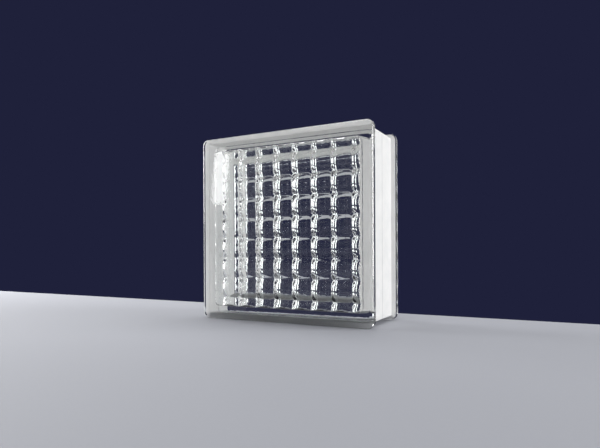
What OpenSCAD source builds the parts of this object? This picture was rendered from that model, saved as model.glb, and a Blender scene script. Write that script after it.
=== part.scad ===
// Hollow glass building block, standing on edge as it is laid in a wall.
// Two pressed glass trays meet mouth to mouth at a seam halfway through the block.
// The inner faces are pressed into a grid of round dimples that meet in ridges.
// Millimetres, +Z up, +Y from the front face to the rear one.
// The origin is the middle of the bottom edge, in the plane of the seam.

/* [Block] */
// Side of the square face
face_w = 190; // [140:1:300]
// Depth of the block from face to face
block_t = 80; // [60:1:120]
// Radius of the four corners of the face
corner_r = 6.5; // [5.5:0.5:10]

/* [Rim] */
// How far the rim stands out beyond the floor of the mortar channel
rim_proud = 4.5; // [2:0.5:5]
// Depth of the rim from the face to where its flank begins
rim_land = 7; // [5:0.5:10]
// Depth over which the flank slopes down to the channel floor
flank_run = 4; // [2:0.5:8]
// Rounding of the rim's outer edge
rim_round = 3; // [1:0.5:4]

/* [Glass] */
// Thickness of the face plate under the middle of a dimple
plate_t = 5; // [4:0.5:8]
// Thickness of the side wall at the seam
wall_t = 7.5; // [5:0.5:10]
// Slope of a tray's walls, in degrees, which lets the plunger out of the glass
tray_draft = 2.5; // [1:0.5:5]
// Rounding inside a tray where its plate and walls meet
tray_round = 3.5; // [2:0.5:6]
// Rounding of the outer edges that meet at the seam
seam_round = 0.8; // [0.4:0.2:1.6]

/* [Dimples] */
// Number of ridges across a face plate, each way
ridge_n = 8; // [5:1:10]
// Depth of a dimple below the flat that is left where four of them meet
dimple_d = 4.5; // [2:0.25:5]
// Length of that flat along a ridge, from tip to tip
flat_len = 7; // [4:0.5:9]

/* [Coating] */
// Thickness of the white coating in the mortar channel
coat_t = 0.3; // [0.2:0.1:0.6]
// Bare strip left on the flank between the coating and the rim
coat_bare = 1; // [0.5:0.5:1.5]

/* [Hidden] */
$fn = 64;
glass_colour = [0.86, 0.91, 0.9, 0.4];
coating_colour = [0.96, 0.96, 0.95];
half_t = block_t / 2;
channel_w = face_w - 2 * rim_proud;
// Width of a tray at its mouth, and where the rounding along its plate ends
mouth_w = channel_w - 2 * wall_t;
round_end = plate_t + tray_round;
tray_w = mouth_w - 2 * tan(tray_draft) * (half_t - round_end);
tray_floor = plate_t + dimple_d;
dimple_pitch = mouth_w / ridge_n;
// Radius of a dimple's mouth: neighbours meet in a ridge and leave flat_len of it flat
mouth_r = norm([dimple_pitch / 2, (dimple_pitch - flat_len) / 2]);
// Radius of the sphere with that mouth and depth
dimple_r = (pow(mouth_r, 2) + pow(dimple_d, 2)) / (2 * dimple_d);
channel_from = rim_land + flank_run;
channel_corner_r = corner_r - rim_proud;
// Run and rise of the coated part of the flank
coat_share = 1 - coat_bare / norm([flank_run, rim_proud]);
// Overlap that lets a cutting shape pass clear of the face that it cuts
clear = 1;

// Flat square with round corners, centred
module round_square(side, r) {
    square([side - 2 * r, side], center = true);
    square([side, side - 2 * r], center = true);
    for (x = [-1, 1], y = [-1, 1])
        translate([x * (side / 2 - r), y * (side / 2 - r)])
            circle(r);
}

// Sweeps a section round a square path with round corners.
// The section's x runs outward from the corner centres, its y along the depth.
module square_sweep(side, r) {
    reach = side / 2 - r;
    for (turn = [0:3])
        rotate(90 * turn) {
            translate([reach, reach, 0])
                rotate_extrude(angle = 90)
                    children();
            translate([reach, reach, 0])
                rotate([90, 0, 0])
                    linear_extrude(2 * reach)
                        children();
        }
}

// Section of the rim outward from the corner centres: round edge, land and sloping flank
module rim_section() {
    translate([0, rim_round])
        square([corner_r, rim_land - rim_round]);
    square([corner_r - rim_round, rim_land]);
    intersection() {
        translate([corner_r - rim_round, rim_round])
            circle(rim_round);
        square([corner_r, rim_round]);
    }
    polygon([
        [0, rim_land],
        [corner_r, rim_land],
        [corner_r - rim_proud, channel_from],
        [0, channel_from]
    ]);
}

// Outside of one half, its face at z = 0 and its seam at z = half_t
module half_outside() {
    square_sweep(face_w, corner_r)
        rim_section();
    linear_extrude(channel_from)
        square(face_w - 2 * corner_r, center = true);
    linear_extrude(half_t - seam_round)
        round_square(channel_w, channel_corner_r);
    linear_extrude(half_t)
        round_square(channel_w - 2 * seam_round, channel_corner_r - seam_round);
    translate([0, 0, half_t - seam_round])
        square_sweep(channel_w, channel_corner_r)
            intersection() {
                translate([channel_corner_r - seam_round, 0])
                    circle(seam_round);
                square([channel_corner_r, seam_round]);
            }
}

// Section of the plunger outward from its corner centres: round edge and sloping wall
module plunger_section() {
    intersection() {
        translate([0, round_end])
            circle(tray_round);
        translate([0, plate_t])
            square(tray_round);
    }
    polygon([
        [0, round_end],
        [tray_round, round_end],
        [tray_round + tan(tray_draft) * (half_t + clear - round_end), half_t + clear],
        [0, half_t + clear]
    ]);
}

// Plunger that shapes the inside of a tray, before its end is cut to domes
module plunger() {
    square_sweep(tray_w, tray_round)
        plunger_section();
    translate([0, 0, plate_t])
        linear_extrude(half_t + clear - plate_t)
            square(tray_w - 2 * tray_round, center = true);
}

// Domes that press the dimples, with part of a dome along each wall
module domes() {
    for (i = [0:ridge_n], j = [0:ridge_n])
        translate([(i - ridge_n / 2) * dimple_pitch, (j - ridge_n / 2) * dimple_pitch, plate_t + dimple_r])
            sphere(dimple_r);
}

// Hollow of one tray: the plunger, with its end cut back to domes
module tray_hollow() {
    intersection() {
        plunger();
        union() {
            translate([0, 0, tray_floor])
                linear_extrude(half_t + 2 * clear - tray_floor)
                    square(face_w, center = true);
            domes();
        }
    }
}

// One pressed tray of glass, face down
module glass_tray() {
    difference() {
        half_outside();
        tray_hollow();
    }
}

// Stands a half up, its face towards the front
module stand_up() {
    translate([0, -half_t, face_w / 2])
        rotate([-90, 0, 0])
            children();
}

// Section of the coating on one half: channel floor and the coated part of the flank
module coating_section() {
    floor_r = channel_corner_r;
    polygon([
        [floor_r, half_t],
        [floor_r, channel_from],
        [floor_r + coat_share * rim_proud, channel_from - coat_share * flank_run],
        [floor_r + coat_share * rim_proud, channel_from - coat_share * flank_run + coat_t],
        [floor_r + coat_t, channel_from + coat_t],
        [floor_r + coat_t, half_t]
    ]);
}

module front_half() {
    color(glass_colour)
        stand_up()
            glass_tray();
}

// The same pressing as the front half, turned about
module rear_half() {
    color(glass_colour)
        rotate(180)
            stand_up()
                glass_tray();
}

module edge_coating() {
    color(coating_colour)
        for (turn = [0, 180])
            rotate(turn)
                stand_up()
                    square_sweep(channel_w, channel_corner_r)
                        coating_section();
}

front_half();
rear_half();
edge_coating();
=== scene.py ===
"""Dresses the glass block: its pressed glass body, its white edge coating and the studio around it."""
import math

import bmesh
import bpy
import numpy as np
from bpy.props import FloatProperty, FloatVectorProperty, IntProperty, PointerProperty
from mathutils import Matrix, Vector


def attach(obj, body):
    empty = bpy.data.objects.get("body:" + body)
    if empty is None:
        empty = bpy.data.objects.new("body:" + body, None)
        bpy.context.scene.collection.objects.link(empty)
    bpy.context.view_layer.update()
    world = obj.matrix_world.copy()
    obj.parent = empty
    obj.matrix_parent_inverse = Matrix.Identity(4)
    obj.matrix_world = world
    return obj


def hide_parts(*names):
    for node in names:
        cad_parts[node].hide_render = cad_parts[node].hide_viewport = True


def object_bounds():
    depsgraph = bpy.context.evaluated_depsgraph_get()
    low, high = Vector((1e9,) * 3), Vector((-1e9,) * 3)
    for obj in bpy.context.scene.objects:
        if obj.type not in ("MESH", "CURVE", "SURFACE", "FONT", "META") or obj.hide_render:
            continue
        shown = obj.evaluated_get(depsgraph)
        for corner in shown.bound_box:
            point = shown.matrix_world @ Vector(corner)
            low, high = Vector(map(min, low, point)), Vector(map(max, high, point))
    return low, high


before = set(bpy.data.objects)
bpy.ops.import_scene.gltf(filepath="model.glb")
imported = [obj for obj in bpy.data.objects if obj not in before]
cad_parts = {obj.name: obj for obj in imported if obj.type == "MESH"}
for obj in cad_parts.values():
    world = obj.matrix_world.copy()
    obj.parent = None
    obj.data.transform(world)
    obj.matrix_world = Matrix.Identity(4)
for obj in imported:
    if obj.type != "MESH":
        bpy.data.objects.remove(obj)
CAD_LOW, CAD_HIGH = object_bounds()

bl_info = {
    "name": "Glass Block",
    "version": (1, 0, 0),
    "blender": (4, 5, 0),
    "location": "3D View > Sidebar > Glass Block",
    "description": "Builds a hollow pressed glass block with a white coated edge, and a studio for it",
    "category": "Add Mesh",
}

MM = 0.001

# Steps of the mesh round a corner of the block, round the rim and the seam, and round a tray's edge
CORNER_STEPS = 8
ROUND_STEPS = 8
FILLET_STEPS = 6
# Distance from a bend at which a second loop keeps the surface beyond it straight
HOLD = 0.25 * MM
# Share of half a pitch, from a ridge to the middle of a dimple, at which a plate has its grid lines
RIDGE_TO_MIDDLE = (0, 0.029, 0.063, 0.106, 0.154, 0.212, 0.28, 0.366, 0.472, 0.588, 0.713, 0.848)
# Grid lines closer than this to a tray's round edge are left out
LINE_GAP = 0.2 * MM
# Decimals of a metre by which two grid lines are told apart
LINE_DECIMALS = 7
# Section of the fused bead across the seam: place along the depth and height, both in bead heights
BEAD_SECTION = ((-3.5, 0), (-3, 0), (-2, 0.3), (-1, 0.8), (0, 1), (1, 0.8), (2, 0.3), (3, 0), (3.5, 0))
# An edge that bends more than this is shaded sharp
SHARP_BEND = math.radians(32)
# Sockets of a Mix node that mixes two colours
MIX_A, MIX_B, MIX_RESULT = 6, 7, 2

# Surfaces that a ray of light may pass, enough for both plates and the walls one behind the other
RAY_BOUNCES = 24
# Reach of the floor to the front and to each side, and where it ends behind the block, in metres
FLOOR_REACH, FLOOR_REAR = 1.2, 0.09
# Even light from all round, which lifts the shadows
FILL_STRENGTH = 0.12
# Name, place and size in metres, and watts of each lamp; all of them face the middle of the block
LAMPS = (
    ("right_softbox", (1.43, 0.38, 0.36), (0.9, 0.9), 25),
    ("left_softbox", (-1.3, 0, 0.6), (0.9, 0.9), 16),
    ("back_left_softbox", (-1.28, 0.74, 0.31), (0.9, 0.9), 5),
    ("back_top_softbox", (-0.45, 1.15, 0.87), (1.0, 0.6), 0.8),
    ("top_softbox", (0, 0.1, 1.4), (1.2, 1.2), 9),
    ("strip_light", (-1.04, -1.183, 0.385), (0.07, 0.25), 0.5),
)
LAMP_AIM = (0, 0, 0.1)
# Camera fitted to the block's edges: place and near end in metres, sight line, roll in radians,
# lens and sensor in millimetres, and shift in widths of the frame
CAMERA_PLACE = (0.24472, -0.47794, 0.07085)
CAMERA_SIGHT = (-0.48248, 0.87591, 0)
CAMERA_ROLL = -0.00404
CAMERA_LENS, CAMERA_SENSOR = 30.628, 36
CAMERA_SHIFT = (0.02801, 0.04508)
CAMERA_NEAR = 0.01


def linear(code):
    """Linear colour of an sRGB hex value."""
    shares = [int(code[i:i + 2], 16) / 255 for i in (0, 2, 4)]
    return tuple(s / 12.92 if s <= 0.04045 else ((s + 0.055) / 1.055) ** 2.4 for s in shares)


def opaque(colour):
    """A colour property as the four numbers that a colour socket takes."""
    return (*colour, 1)


class GlassSizes(bpy.types.PropertyGroup):
    """Sizes of the glass body, as the part's solids have them."""

    face_w: FloatProperty(
        name="Face", description="Side of the square face",
        default=CAD_HIGH.x - CAD_LOW.x, unit="LENGTH")
    block_t: FloatProperty(
        name="Depth", description="Depth of the block from face to face",
        default=CAD_HIGH.y - CAD_LOW.y, unit="LENGTH")
    corner_r: FloatProperty(
        name="Corner", description="Radius of the four corners of the face",
        default=6.5 * MM, unit="LENGTH")
    rim_proud: FloatProperty(
        name="Rim height", description="How far the rim stands out beyond the channel floor",
        default=4.5 * MM, unit="LENGTH")
    rim_land: FloatProperty(
        name="Rim land", description="Depth of the rim from the face to its flank",
        default=7 * MM, unit="LENGTH")
    flank_run: FloatProperty(
        name="Flank", description="Depth over which the flank slopes down to the channel floor",
        default=4 * MM, unit="LENGTH")
    rim_round: FloatProperty(
        name="Rim rounding", description="Rounding of the rim's outer edge",
        default=3 * MM, unit="LENGTH")
    plate_t: FloatProperty(
        name="Plate", description="Thickness of the face plate under the middle of a dimple",
        default=5 * MM, unit="LENGTH")
    wall_t: FloatProperty(
        name="Wall", description="Thickness of the side wall at the seam",
        default=7.5 * MM, unit="LENGTH")
    tray_draft: FloatProperty(
        name="Tray draft", description="Slope of a tray's walls, which lets the plunger out",
        default=math.radians(2.5), subtype="ANGLE")
    tray_round: FloatProperty(
        name="Tray rounding", description="Rounding inside a tray where its plate and walls meet",
        default=3.5 * MM, unit="LENGTH")
    seam_round: FloatProperty(
        name="Seam rounding", description="Rounding of the outer edges that meet at the seam",
        default=0.8 * MM, unit="LENGTH")
    seam_bead: FloatProperty(
        name="Seam bead", description="Height of the fused bead along the seam inside the block",
        default=0.6 * MM, unit="LENGTH")
    coat_grip: FloatProperty(
        name="Coating grip", description="How far the glass reaches into the coating, so that they touch",
        default=0.1 * MM, unit="LENGTH")


class DimpleSizes(bpy.types.PropertyGroup):
    """Sizes of the dimples that are pressed into the two plates."""

    ridge_n: IntProperty(
        name="Ridges", description="Number of ridges across a plate, each way", default=8, min=2)
    depth: FloatProperty(
        name="Depth", description="Depth of a dimple below the flat where four of them meet",
        default=4.5 * MM, unit="LENGTH")
    flat_len: FloatProperty(
        name="Flat", description="Length of that flat along a ridge, before the ridges are rounded",
        default=7 * MM, unit="LENGTH")
    rounding: FloatProperty(
        name="Ridge rounding", description="How far the press rounds the ridges and the ends of the flats",
        default=1.0 * MM, unit="LENGTH")


class BlockColours(bpy.types.PropertyGroup):
    """Colours of the glass, the coating and the studio."""

    glass: FloatVectorProperty(
        name="Glass", description="Tint of the glass", subtype="COLOR", default=linear("FBFDFC"))
    coating: FloatVectorProperty(
        name="Coating", description="Clean part of the edge coating", subtype="COLOR",
        default=linear("ECEBE8"))
    coating_thin: FloatVectorProperty(
        name="Thin coating", description="Coating where the brush left it thin", subtype="COLOR",
        default=linear("E4E4E2"))
    # Painted shade: a darker coating colour that stands in for the shadow in the seam's groove
    coating_seam_shade: FloatVectorProperty(
        name="Seam line", description="Edge coating where it sinks into the seam", subtype="COLOR",
        default=linear("B9BAB9"))
    floor: FloatVectorProperty(
        name="Floor", description="Floor that the block stands on", subtype="COLOR",
        default=linear("ACAEB6"))
    backdrop: FloatVectorProperty(
        name="Backdrop", description="Backdrop behind the block", subtype="COLOR",
        default=linear("1F213A"))


def add_node(tree, kind, sockets=None, **settings):
    """Adds a node to a tree, with its settings, and fills its input sockets or links them."""
    node = tree.nodes.new(kind)
    for name, value in settings.items():
        setattr(node, name, value)
    for key, value in (sockets or {}).items():
        if isinstance(value, bpy.types.NodeSocket):
            tree.links.new(value, node.inputs[key])
        else:
            node.inputs[key].default_value = value
    return node


def start_material(name):
    """A new material with its node tree, its shader and the piece's own coordinates."""
    material = bpy.data.materials.new(name)
    material.use_nodes = True
    tree = material.node_tree
    place = add_node(tree, "ShaderNodeTexCoord").outputs["Object"]
    return material, tree, tree.nodes["Principled BSDF"], place


def pressed_glass(colours):
    """Soda-lime glass from the press, fire polished."""
    # Clear and glossy, with a hint of green; the mould leaves a slow ripple and an orange peel on it.
    # The finest of the peel would not show in the render, so it is drawn as coarse as it needs to be.
    ripple_w, ripple_h = 9 * MM, 0.01 * MM
    peel_w, peel_h = 2.4 * MM, 0.02 * MM
    soda_lime_ior = 1.52
    material, tree, shader, place = start_material("pressed soda-lime glass")
    ripple = add_node(tree, "ShaderNodeTexNoise", {"Vector": place, "Scale": 1 / ripple_w, "Detail": 1.0})
    peel = add_node(tree, "ShaderNodeTexNoise", {"Vector": place, "Scale": 1 / peel_w, "Detail": 2.0})
    slow = add_node(tree, "ShaderNodeBump", {
        "Height": ripple.outputs[0], "Strength": 1.0, "Distance": ripple_h})
    fine = add_node(tree, "ShaderNodeBump", {
        "Height": peel.outputs[0], "Strength": 1.0, "Distance": peel_h, "Normal": slow.outputs[0]})
    shader.inputs["Base Color"].default_value = opaque(colours.glass)
    shader.inputs["Roughness"].default_value = 0.0
    shader.inputs["IOR"].default_value = soda_lime_ior
    shader.inputs["Transmission Weight"].default_value = 1.0
    tree.links.new(fine.outputs[0], shader.inputs["Normal"])
    return material


def brushed_coating(colours, sizes):
    """White mineral coating, brushed on, with fine sand in it for the mortar to grip."""
    # Matt and chalky, a little uneven in white, grainy close up, and drawn in along the seam below it,
    # where a darker colour paints the shade in the groove.
    # It is thin, so light from outside shines through it into the glass.
    # Real sand is finer than the render can show, so the grains are drawn larger.
    patch_w = 14 * MM
    grain_w, grain_h = 0.9 * MM, 0.1 * MM
    groove_d = 0.5 * MM
    shine_through = 2 * MM
    material, tree, shader, place = start_material("sanded white edge coating")
    patch = add_node(tree, "ShaderNodeTexNoise", {"Vector": place, "Scale": 1 / patch_w, "Detail": 3.0})
    shade = add_node(tree, "ShaderNodeMapRange", {
        "Value": patch.outputs[0], "From Min": 0.35, "From Max": 0.65})
    white = add_node(tree, "ShaderNodeMix", {
        0: shade.outputs[0], MIX_A: opaque(colours.coating_thin), MIX_B: opaque(colours.coating)},
        data_type="RGBA")
    grit = add_node(tree, "ShaderNodeTexNoise", {"Vector": place, "Scale": 1 / grain_w, "Detail": 3.0})
    depth = add_node(tree, "ShaderNodeSeparateXYZ", {0: place})
    off_seam = add_node(tree, "ShaderNodeMath", {0: depth.outputs["Y"]}, operation="ABSOLUTE")
    groove = add_node(tree, "ShaderNodeMapRange", {
        "Value": off_seam.outputs[0], "From Min": 0.0, "From Max": sizes.seam_round},
        interpolation_type="SMOOTHSTEP")
    # Painted shade: the coating's colour darkens towards the seam, in place of the shadow that falls in the
    # groove
    seam_shaded = add_node(tree, "ShaderNodeMix", {
        0: groove.outputs[0], MIX_A: opaque(colours.coating_seam_shade), MIX_B: white.outputs[MIX_RESULT]},
        data_type="RGBA")
    grain = add_node(tree, "ShaderNodeBump", {
        "Height": grit.outputs[0], "Strength": 1.0, "Distance": grain_h})
    sunk = add_node(tree, "ShaderNodeBump", {
        "Height": groove.outputs[0], "Strength": 1.0, "Distance": groove_d, "Normal": grain.outputs[0]})
    dull = add_node(tree, "ShaderNodeMapRange", {
        "Value": grit.outputs[0], "To Min": 0.7, "To Max": 0.9})
    shader.inputs["Subsurface Weight"].default_value = 1.0
    shader.inputs["Subsurface Radius"].default_value = (1, 1, 1)
    shader.inputs["Subsurface Scale"].default_value = shine_through
    tree.links.new(seam_shaded.outputs[MIX_RESULT], shader.inputs["Base Color"])
    tree.links.new(dull.outputs[0], shader.inputs["Roughness"])
    tree.links.new(sunk.outputs[0], shader.inputs["Normal"])
    return material


def plain_floor(colours):
    """Matt painted board under the block."""
    # Even and pale, with the faint unevenness of rolled paint
    stipple_w, stipple_h = 2 * MM, 0.05 * MM
    material, tree, shader, place = start_material("matt painted board")
    stipple = add_node(tree, "ShaderNodeTexNoise", {"Vector": place, "Scale": 1 / stipple_w, "Detail": 2.0})
    bump = add_node(tree, "ShaderNodeBump", {
        "Height": stipple.outputs[0], "Strength": 0.3, "Distance": stipple_h})
    dull = add_node(tree, "ShaderNodeMapRange", {
        "Value": stipple.outputs[0], "To Min": 0.7, "To Max": 0.9})
    shader.inputs["Base Color"].default_value = opaque(colours.floor)
    tree.links.new(dull.outputs[0], shader.inputs["Roughness"])
    tree.links.new(bump.outputs[0], shader.inputs["Normal"])
    return material


def body_outline(sizes):
    """Half width and depth of the body from the front face to the rear one, along its edge."""
    half_w, half_t = sizes.face_w / 2, sizes.block_t / 2
    channel = half_w - sizes.rim_proud + sizes.coat_grip
    flank_end = half_t - sizes.rim_land - sizes.flank_run
    front = []
    for step in range(ROUND_STEPS + 1):
        turn = step / ROUND_STEPS * math.pi / 2
        front.append((
            half_w - sizes.rim_round * (1 - math.sin(turn)),
            -half_t + sizes.rim_round * (1 - math.cos(turn))))
    front.append((half_w, -half_t + sizes.rim_round + HOLD))
    front.append((half_w, -half_t + sizes.rim_land))
    front.append((channel, -flank_end + sizes.coat_grip))
    front.append((channel, -sizes.seam_round - HOLD))
    for step in range(ROUND_STEPS + 1):
        turn = step / ROUND_STEPS * math.pi / 2
        front.append((
            channel - sizes.seam_round * (1 - math.cos(turn)),
            -sizes.seam_round * (1 - math.sin(turn))))
    return front + [(half, -depth) for half, depth in reversed(front[:-1])]


def square_loop(bm, half, corner, depth, middle):
    """A loop of corners of a square with round corners, at one depth of the block."""
    reach = half - corner
    loop = []
    for quarter, (right, up) in enumerate(((1, 1), (-1, 1), (-1, -1), (1, -1))):
        for step in range(CORNER_STEPS + 1):
            turn = (quarter + step / CORNER_STEPS) * math.pi / 2
            loop.append(bm.verts.new((
                right * reach + corner * math.cos(turn),
                depth,
                middle + up * reach + corner * math.sin(turn))))
    return loop


def join_loops(bm, first, second):
    """A band of faces between two loops of as many corners."""
    return [
        bm.faces.new((first[i - 1], first[i], second[i], second[i - 1]))
        for i in range(len(first))]


def tray_mouth(sizes):
    """Half the width of a tray at its mouth, in the plane of the seam."""
    return sizes.face_w / 2 - sizes.rim_proud - sizes.wall_t


def plate_lines(half, fillet, pitch):
    """Places of the grid lines across a plate: close together on the ridges, then round the tray's edge."""
    flat = half - fillet
    steps = [share * pitch / 2 for share in RIDGE_TO_MIDDLE] + [
        pitch - share * pitch / 2 for share in (1, *reversed(RIDGE_TO_MIDDLE[1:]))]
    ridges = np.arange(0.5, half / pitch) * pitch
    lines = {0.0, flat}
    for ridge in [-ridges[0], *ridges]:
        lines.update(round(float(ridge + step), LINE_DECIMALS) for step in steps)
    inner = sorted(line for line in lines if line == flat or 0 <= line < flat - LINE_GAP)
    outer = [flat + fillet * step / FILLET_STEPS for step in range(1, FILLET_STEPS + 1)]
    right = inner[1:] + outer
    return np.array([-line for line in reversed(right)] + [0.0] + right)


def add_plate(bm, marks, sizes, lines, half, side):
    """Grid of one plate, round along its edge, marked with its side and how high its edge has risen."""
    flat, fillet = half - sizes.tray_round, sizes.tray_round
    middle = sizes.face_w / 2
    grid = []
    for across in lines:
        column = []
        for up in lines:
            over_x, over_z = max(abs(across) - flat, 0), max(abs(up) - flat, 0)
            far = max(over_x, over_z)
            turn = far / fillet * math.pi / 2
            swing = fillet * math.sin(turn) / math.hypot(over_x, over_z) if far else 0
            lift = fillet * (1 - math.cos(turn))
            corner = bm.verts.new((
                math.copysign(min(abs(across), flat) + over_x * swing, across),
                side * (sizes.block_t / 2 - sizes.plate_t - lift),
                middle + math.copysign(min(abs(up), flat) + over_z * swing, up)))
            corner[marks["side"]] = side
            corner[marks["lift"]] = lift
            column.append(corner)
        grid.append(column)
    faces = [
        bm.faces.new((grid[i - 1][j - 1], grid[i][j - 1], grid[i][j], grid[i - 1][j]))
        for i in range(1, len(lines)) for j in range(1, len(lines))]
    border = [column[0] for column in grid[:-1]] + grid[-1][:-1]
    border += [column[-1] for column in reversed(grid[1:])] + list(reversed(grid[0][1:]))
    return faces, border


def plain_body(sizes, dimples):
    """Mesh of the fused body before the dimples are pressed: its outside, and its hollow inside out."""
    bm = bmesh.new()
    marks = {name: bm.verts.layers.float.new(name) for name in ("side", "lift")}
    half_w = sizes.face_w / 2
    loops = [
        square_loop(bm, half, sizes.corner_r - (half_w - half), depth, half_w)
        for half, depth in body_outline(sizes)]
    outside = [face for i in range(1, len(loops)) for face in join_loops(bm, loops[i - 1], loops[i])]
    flats = [bm.faces.new(loops[0]), bm.faces.new(loops[-1])]
    outside += flats

    mouth = tray_mouth(sizes)
    slope = math.tan(sizes.tray_draft)
    half = mouth - slope * (sizes.block_t / 2 - sizes.plate_t - sizes.tray_round)
    lines = plate_lines(half, sizes.tray_round, 2 * mouth / dimples.ridge_n)
    hollow, border = add_plate(bm, marks, sizes, lines, half, -1)
    walls = [border]
    wall_depth = sizes.block_t / 2 - sizes.plate_t
    rise = (sizes.tray_round + HOLD, dimples.depth + HOLD)
    rings = [(lift - wall_depth, 0) for lift in rise]
    rings += [(step * sizes.seam_bead, height * sizes.seam_bead) for step, height in BEAD_SECTION]
    rings += [(wall_depth - lift, 0) for lift in reversed(rise)]
    for depth, height in rings:
        share = (mouth - slope * abs(depth) - height) / half
        walls.append([
            bm.verts.new((v.co.x * share, depth, half_w + (v.co.z - half_w) * share)) for v in border])
        for corner in walls[-1]:
            corner[marks["side"]] = math.copysign(1, depth)
            corner[marks["lift"]] = wall_depth - abs(depth)
    rear, border = add_plate(bm, marks, sizes, lines, half, 1)
    walls.append(border)
    hollow += rear
    hollow += [face for i in range(1, len(walls)) for face in join_loops(bm, walls[i - 1], walls[i])]

    bmesh.ops.recalc_face_normals(bm, faces=outside)
    bmesh.ops.recalc_face_normals(bm, faces=hollow)
    bmesh.ops.reverse_faces(bm, faces=hollow)
    for face in bm.faces:
        face.smooth = face not in flats
    mesh = bpy.data.meshes.new("glass_body_plain")
    bm.to_mesh(mesh)
    bm.free()
    return mesh


def dimple_press():
    """Tree that presses a grid of round dimples into the two plates of the body."""
    tree = bpy.data.node_groups.new("Dimple press", "GeometryNodeTree")
    tree.interface.new_socket("Geometry", in_out="INPUT", socket_type="NodeSocketGeometry")
    for name in ("Pitch", "Flat Length", "Depth", "Ridge Rounding", "Middle Height"):
        tree.interface.new_socket(name, in_out="INPUT", socket_type="NodeSocketFloat")
    tree.interface.new_socket("Glass", in_out="INPUT", socket_type="NodeSocketMaterial")
    tree.interface.new_socket("Geometry", in_out="OUTPUT", socket_type="NodeSocketGeometry")
    given = add_node(tree, "NodeGroupInput").outputs
    position = add_node(tree, "GeometryNodeInputPosition").outputs[0]
    place = add_node(tree, "ShaderNodeSeparateXYZ", {0: position})

    # Distance from the nearest dimple's middle line each way, eased off near the ridge to round its crest
    half = add_node(tree, "ShaderNodeMath", {0: given["Pitch"], 1: 0.5}, operation="MULTIPLY").outputs[0]
    low = add_node(tree, "ShaderNodeMath", {0: given["Pitch"], 1: -0.5}, operation="MULTIPLY").outputs[0]
    up = add_node(
        tree, "ShaderNodeMath", {0: place.outputs["Z"], 1: given["Middle Height"]},
        operation="SUBTRACT").outputs[0]
    crest = add_node(
        tree, "ShaderNodeMath", {0: given["Ridge Rounding"], 1: given["Ridge Rounding"]},
        operation="MULTIPLY").outputs[0]
    squares = []
    for along in (place.outputs["X"], up):
        folded = add_node(
            tree, "ShaderNodeMath", {0: along, 1: half, 2: low}, operation="WRAP").outputs[0]
        off = add_node(tree, "ShaderNodeMath", {0: folded}, operation="ABSOLUTE").outputs[0]
        to_ridge = add_node(tree, "ShaderNodeMath", {0: half, 1: off}, operation="SUBTRACT").outputs[0]
        sum_sq = add_node(
            tree, "ShaderNodeMath", {0: to_ridge, 1: to_ridge, 2: crest},
            operation="MULTIPLY_ADD").outputs[0]
        eased = add_node(tree, "ShaderNodeMath", {0: sum_sq}, operation="SQRT").outputs[0]
        leg = add_node(tree, "ShaderNodeMath", {0: half, 1: eased}, operation="SUBTRACT").outputs[0]
        squares.append(add_node(
            tree, "ShaderNodeMath", {0: leg, 1: leg}, operation="MULTIPLY").outputs[0])
    reach_sq = add_node(
        tree, "ShaderNodeMath", {0: squares[0], 1: squares[1]}, operation="ADD").outputs[0]

    # A dimple's mouth passes through the ends of the flats, and its sphere through the mouth
    spare = add_node(
        tree, "ShaderNodeMath", {0: given["Pitch"], 1: given["Flat Length"]},
        operation="SUBTRACT").outputs[0]
    short = add_node(tree, "ShaderNodeMath", {0: spare, 1: 0.5}, operation="MULTIPLY").outputs[0]
    short_sq = add_node(tree, "ShaderNodeMath", {0: short, 1: short}, operation="MULTIPLY").outputs[0]
    mouth_sq = add_node(
        tree, "ShaderNodeMath", {0: half, 1: half, 2: short_sq}, operation="MULTIPLY_ADD").outputs[0]
    depth_sq = add_node(
        tree, "ShaderNodeMath", {0: given["Depth"], 1: given["Depth"], 2: mouth_sq},
        operation="MULTIPLY_ADD").outputs[0]
    twice = add_node(
        tree, "ShaderNodeMath", {0: given["Depth"], 1: 2.0}, operation="MULTIPLY").outputs[0]
    ball = add_node(tree, "ShaderNodeMath", {0: depth_sq, 1: twice}, operation="DIVIDE").outputs[0]
    ball_sq = add_node(tree, "ShaderNodeMath", {0: ball, 1: ball}, operation="MULTIPLY").outputs[0]
    blend = add_node(
        tree, "ShaderNodeMath", {0: given["Pitch"], 1: given["Ridge Rounding"]},
        operation="MULTIPLY").outputs[0]
    inside = add_node(
        tree, "ShaderNodeMath", {0: reach_sq, 1: mouth_sq, 2: blend}, operation="SMOOTH_MIN").outputs[0]
    rest = add_node(tree, "ShaderNodeMath", {0: ball_sq, 1: inside}, operation="SUBTRACT").outputs[0]
    sphere = add_node(tree, "ShaderNodeMath", {0: rest}, operation="SQRT").outputs[0]
    height = add_node(tree, "ShaderNodeMath", {0: ball, 1: sphere}, operation="SUBTRACT").outputs[0]

    # The ridges stand up into the hollow, as far as the tray's round edge hasn't risen already
    side = add_node(
        tree, "GeometryNodeInputNamedAttribute", {"Name": "side"}, data_type="FLOAT").outputs[0]
    lift = add_node(
        tree, "GeometryNodeInputNamedAttribute", {"Name": "lift"}, data_type="FLOAT").outputs[0]
    above = add_node(tree, "ShaderNodeMath", {0: lift, 1: height}, operation="SUBTRACT").outputs[0]
    inward = add_node(tree, "ShaderNodeMath", {0: above, 1: 0.0}, operation="MINIMUM").outputs[0]
    pushed = add_node(tree, "ShaderNodeMath", {0: inward, 1: side}, operation="MULTIPLY").outputs[0]
    offset = add_node(tree, "ShaderNodeCombineXYZ", {"Y": pushed}).outputs[0]
    pressed = add_node(
        tree, "GeometryNodeSetPosition", {"Geometry": given["Geometry"], "Offset": offset}).outputs[0]
    real = add_node(tree, "GeometryNodeRealizeInstances", {0: pressed}).outputs[0]
    dressed = add_node(
        tree, "GeometryNodeSetMaterial", {"Geometry": real, "Material": given["Glass"]}).outputs[0]
    add_node(tree, "NodeGroupOutput", {"Geometry": dressed})
    return tree


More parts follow.
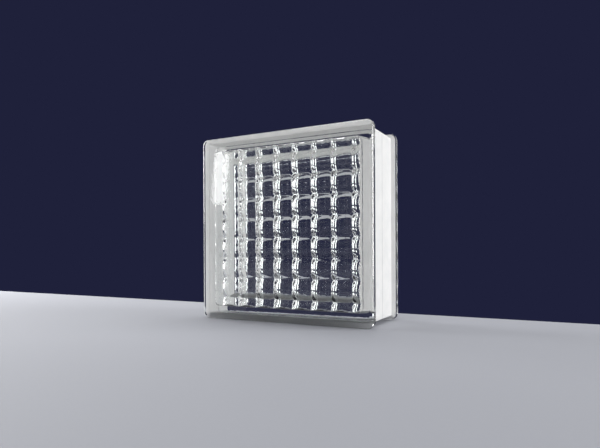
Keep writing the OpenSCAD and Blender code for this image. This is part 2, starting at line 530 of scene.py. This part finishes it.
def run_tree(obj, tree, values):
    """Runs a tree on an object with named values and leaves the result as the object's plain mesh."""
    modifier = obj.modifiers.new(tree.name, "NODES")
    modifier.node_group = tree
    for item in tree.interface.items_tree:
        if item.in_out == "INPUT" and item.name in values:
            modifier[item.identifier] = values[item.name]
    bpy.context.view_layer.update()
    depsgraph = bpy.context.evaluated_depsgraph_get()
    mesh = bpy.data.meshes.new_from_object(obj.evaluated_get(depsgraph))
    obj.modifiers.remove(modifier)
    old = obj.data
    obj.data = mesh
    bpy.data.meshes.remove(old)
    mesh.name = obj.name


class GLASSBLOCK_OT_glass_body(bpy.types.Operator):
    """Builds the fused glass body with its hollow, and presses the dimples into both plates"""

    bl_idname = "glassblock.glass_body"
    bl_label = "Glass Body"

    def execute(self, context):
        sizes, dimples = context.scene.glass_sizes, context.scene.dimple_sizes
        body = bpy.data.objects.new("glass_body", plain_body(sizes, dimples))
        context.scene.collection.objects.link(body)
        run_tree(body, dimple_press(), {
            "Pitch": 2 * tray_mouth(sizes) / dimples.ridge_n,
            "Flat Length": dimples.flat_len,
            "Depth": dimples.depth,
            "Ridge Rounding": dimples.rounding,
            "Middle Height": sizes.face_w / 2,
            "Glass": pressed_glass(context.scene.block_colours),
        })
        body.data.set_sharp_from_angle(angle=SHARP_BEND)
        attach(body, "root")
        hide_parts("front_half", "rear_half")
        return {"FINISHED"}


class GLASSBLOCK_OT_edge_coating(bpy.types.Operator):
    """Gives the coating in the mortar channel its finish"""

    bl_idname = "glassblock.edge_coating"
    bl_label = "Edge Coating"

    def execute(self, context):
        finish = brushed_coating(context.scene.block_colours, context.scene.glass_sizes)
        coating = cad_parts["edge_coating"]
        coating.data.materials.clear()
        coating.data.materials.append(finish)
        return {"FINISHED"}


class GLASSBLOCK_OT_stage(bpy.types.Operator):
    """Sets up the floor, the backdrop, the lamps and the camera"""

    bl_idname = "glassblock.stage"
    bl_label = "Stage"

    def execute(self, context):
        scene = context.scene
        colours = scene.block_colours
        scene.view_settings.view_transform = "Standard"
        scene.cycles.max_bounces = RAY_BOUNCES
        scene.cycles.transmission_bounces = RAY_BOUNCES

        # The floor ends behind the block, so that the backdrop shows through the glass
        mesh = bpy.data.meshes.new("floor")
        corners = [
            (-FLOOR_REACH, -FLOOR_REACH, 0), (FLOOR_REACH, -FLOOR_REACH, 0),
            (FLOOR_REACH, FLOOR_REAR, 0), (-FLOOR_REACH, FLOOR_REAR, 0)]
        mesh.from_pydata(corners, [], [(0, 1, 2, 3)])
        mesh.materials.append(plain_floor(colours))
        floor = bpy.data.objects.new("floor", mesh)
        scene.collection.objects.link(floor)

        # What the camera sees, also in the glass and through it, is the dark backdrop; the fill only lights
        world = bpy.data.worlds.new("studio")
        scene.world = world
        world.use_nodes = True
        tree = world.node_tree
        seen = add_node(tree, "ShaderNodeLightPath").outputs
        mirrored = add_node(
            tree, "ShaderNodeMath", {0: seen["Is Camera Ray"], 1: seen["Is Glossy Ray"]},
            operation="MAXIMUM")
        through = add_node(
            tree, "ShaderNodeMath", {0: mirrored.outputs[0], 1: seen["Is Transmission Ray"]},
            operation="MAXIMUM")
        fill = tree.nodes["Background"]
        fill.inputs["Color"].default_value = (1, 1, 1, 1)
        fill.inputs["Strength"].default_value = FILL_STRENGTH
        backdrop = add_node(tree, "ShaderNodeBackground", {
            "Color": opaque(colours.backdrop), "Strength": 1.0})
        mix = add_node(tree, "ShaderNodeMixShader", {
            0: through.outputs[0], 1: fill.outputs[0], 2: backdrop.outputs[0]})
        tree.links.new(mix.outputs[0], tree.nodes["World Output"].inputs["Surface"])

        for name, place, size, watts in LAMPS:
            lamp = bpy.data.lights.new(name, "AREA")
            lamp.shape = "RECTANGLE"
            lamp.size, lamp.size_y = size
            lamp.energy = watts
            holder = bpy.data.objects.new(name, lamp)
            holder.location = place
            sight = Vector(LAMP_AIM) - Vector(place)
            holder.rotation_euler = sight.to_track_quat("-Z", "Y").to_euler()
            scene.collection.objects.link(holder)

        lens = bpy.data.cameras.new("camera")
        lens.lens = CAMERA_LENS
        lens.sensor_width = CAMERA_SENSOR
        lens.shift_x, lens.shift_y = CAMERA_SHIFT
        lens.clip_start = CAMERA_NEAR
        camera = bpy.data.objects.new("camera", lens)
        camera.location = CAMERA_PLACE
        camera.rotation_euler = Vector(CAMERA_SIGHT).to_track_quat("-Z", "Y").to_euler()
        camera.rotation_euler.rotate_axis("Z", CAMERA_ROLL)
        scene.collection.objects.link(camera)
        scene.camera = camera
        return {"FINISHED"}


class GLASSBLOCK_PT_panel(bpy.types.Panel):
    """Lists the sizes, the colours and the steps of the glass block"""

    bl_idname = "GLASSBLOCK_PT_panel"
    bl_label = "Glass Block"
    bl_space_type = "VIEW_3D"
    bl_region_type = "UI"
    bl_category = "Glass Block"

    def draw(self, context):
        for group in (getattr(context.scene, name) for name in GROUPS):
            box = self.layout.box()
            for name in group.bl_rna.properties.keys():
                if name not in {"rna_type", "name"}:
                    box.prop(group, name)
        for step in STEPS:
            self.layout.operator(step.bl_idname)


GROUPS = {"glass_sizes": GlassSizes, "dimple_sizes": DimpleSizes, "block_colours": BlockColours}
STEPS = (GLASSBLOCK_OT_glass_body, GLASSBLOCK_OT_edge_coating, GLASSBLOCK_OT_stage)


def register():
    for cls in (*GROUPS.values(), *STEPS, GLASSBLOCK_PT_panel):
        bpy.utils.register_class(cls)
    for name, group in GROUPS.items():
        setattr(bpy.types.Scene, name, PointerProperty(type=group))


def unregister():
    for name in GROUPS:
        delattr(bpy.types.Scene, name)
    for cls in (GLASSBLOCK_PT_panel, *reversed(STEPS), *GROUPS.values()):
        bpy.utils.unregister_class(cls)


def main():
    register()
    bpy.ops.glassblock.glass_body()
    bpy.ops.glassblock.edge_coating()
    bpy.ops.glassblock.stage()


if __name__ == "__main__":
    main()
